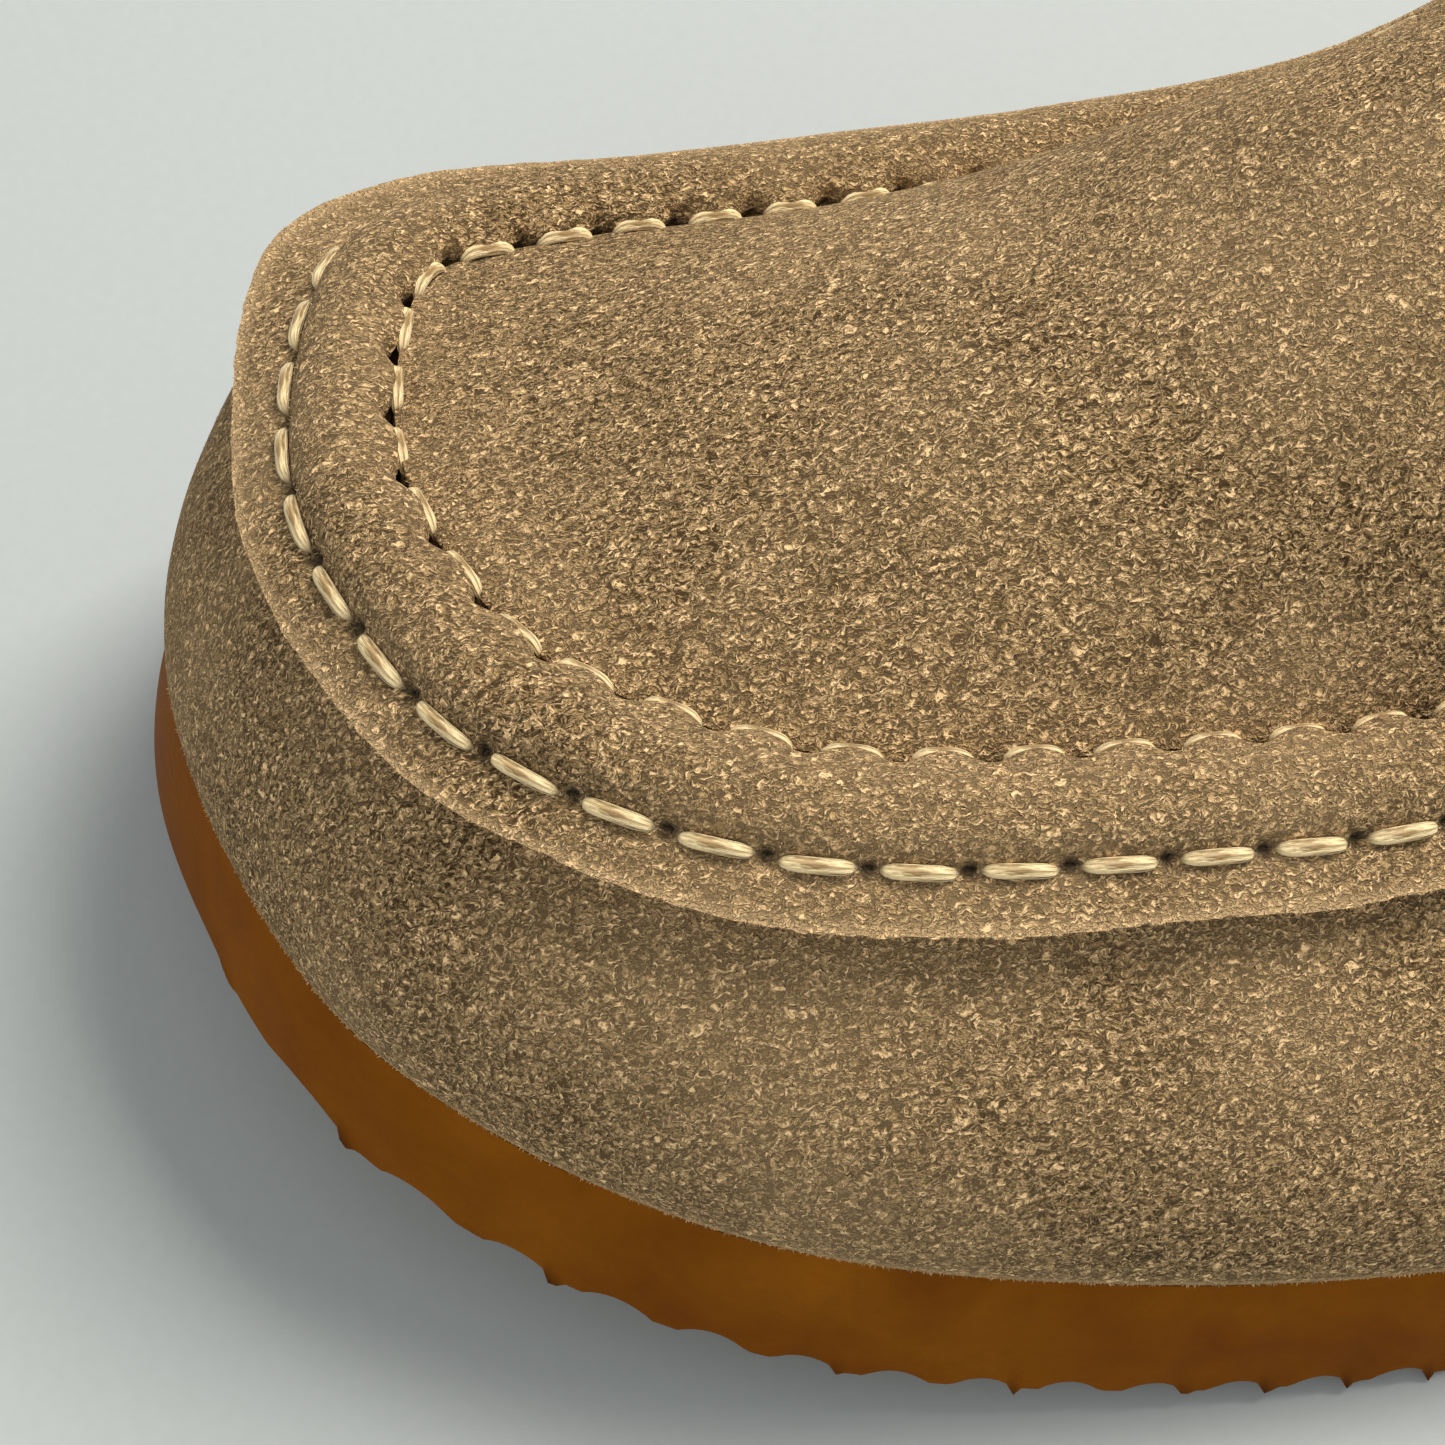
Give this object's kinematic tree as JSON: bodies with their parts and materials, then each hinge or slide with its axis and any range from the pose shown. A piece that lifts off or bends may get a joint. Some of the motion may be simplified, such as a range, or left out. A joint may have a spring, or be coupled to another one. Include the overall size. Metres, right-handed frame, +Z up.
{
  "type": "moccasin",
  "caption": "Left slip-on moccasin: suede wall and apron joined by a padded, stitched roll, padded collar and tongue, and a foamed sole with toe spring.",
  "frame": {"origin": "centre of the bounding box, at the flat underside of the sole", "axes": "+Z up, toe towards -Y and heel towards +Y, outer side of the left foot towards +X"},
  "size_m": [0.1004, 0.2818, 0.0918],
  "materials": {
    "suede": "napped suede, soft and matte, with lighter raw edges",
    "suede_edge": "napped suede binding, matte",
    "sole_foam": "foamed rubber, smooth and softly mottled, satin",
    "thread": "waxed multi-strand thread, slight sheen",
    "lining_leather": "smooth pigskin lining, satin",
    "sock_leather": "brushed leather sock, matte",
    "foam": "open-cell foam, matte",
    "fibreboard": "pressed cellulose board, matte",
    "cork_mix": "cork and latex filler, matte",
    "shank_steel": "rolled steel"
  },
  "bodies": {
    "shoe": {"outsole": "sole_foam", "bottom_filler": "cork_mix", "shank": "shank_steel", "insole_board": "fibreboard", "footbed": "foam", "heel_pad": "foam", "sock_liner": "sock_leather", "vamp_wall": "suede", "toe_puff": "fibreboard", "vamp_lining": "lining_leather", "apron": "suede", "apron_lining": "lining_leather", "apron_roll": "suede", "roll_cord": "foam", "outer_stitching": "thread", "inner_stitching": "thread", "throat_binding": "suede_edge", "quarter_lateral": "suede", "quarter_medial": "suede", "heel_counter": "fibreboard", "collar_padding": "foam", "quarter_lining": "lining_leather", "collar_binding": "suede_edge", "back_strip": "suede", "side_stitching_lateral": "thread", "side_stitching_medial": "thread", "back_stitching_lateral": "thread", "back_stitching_medial": "thread", "collar_stitching_lateral": "thread", "collar_stitching_medial": "thread"},
    "tongue": {"tongue_face": "suede", "tongue_foam": "foam", "tongue_lining": "lining_leather"}
  },
  "joints": [
    {"name": "tongue_lift", "type": "hinge", "parent": "shoe", "child": "tongue", "pos_m": [-0.0014, -0.026, 0.0738], "axis": [1, 0, 0], "range_deg": [-3, 38], "stiffness_Nm_per_rad": 0.05}
  ]
}
